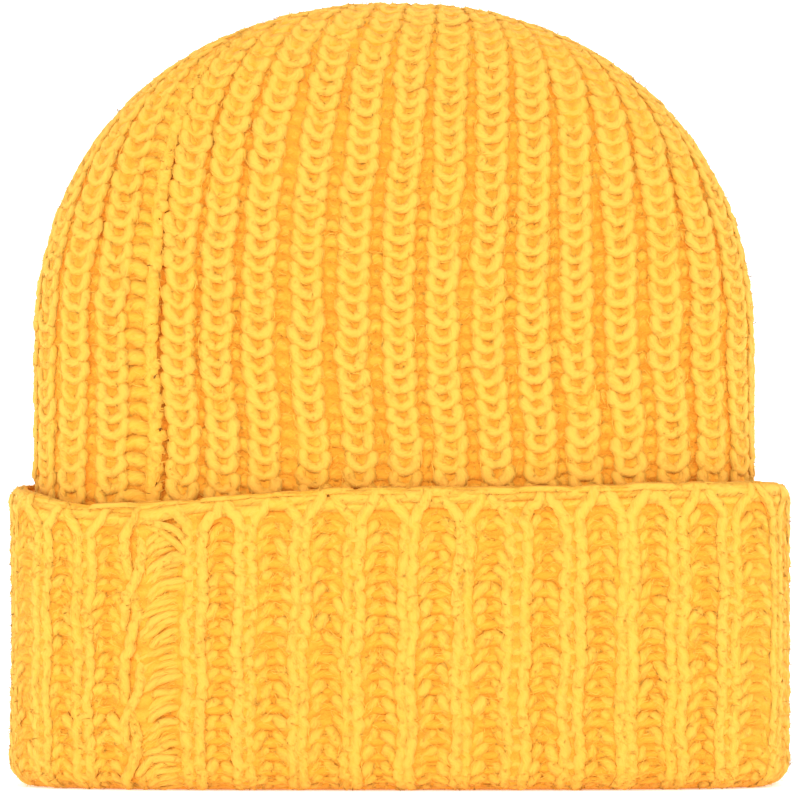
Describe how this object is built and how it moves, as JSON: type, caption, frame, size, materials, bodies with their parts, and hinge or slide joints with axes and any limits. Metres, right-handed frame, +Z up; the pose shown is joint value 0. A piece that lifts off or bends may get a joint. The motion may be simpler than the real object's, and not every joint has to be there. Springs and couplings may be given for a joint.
{
  "type": "cuffed beanie",
  "caption": "Chunky rib-knit beanie with a deep turned-up cuff, standing on the fold of the cuff, open below and gathered at the top.",
  "frame": {"origin": "middle of the footprint, on the surface that the fold of the cuff stands on", "axes": "+Z up to the gathered top, +X to the right as the front is seen, +Y to the back, so the front with the seam at its left faces -Y"},
  "size_m": [0.22, 0.102, 0.2197],
  "materials": {
    "crown_knit": "soft brushed yarn, matte",
    "cuff_knit": "soft brushed yarn, matte",
    "cuff_edge_knit": "soft brushed yarn, matte",
    "crown_seam_yarn": "soft brushed yarn, matte",
    "cuff_seam_yarn": "soft brushed yarn, matte",
    "gather_yarn": "soft brushed yarn, matte"
  },
  "bodies": {
    "root": {"crown": "crown_knit", "cuff": "cuff_knit", "cuff_edge": "cuff_edge_knit", "crown_seam": "crown_seam_yarn", "cuff_seam": "cuff_seam_yarn", "crown_gather": "gather_yarn"}
  },
  "joints": []
}
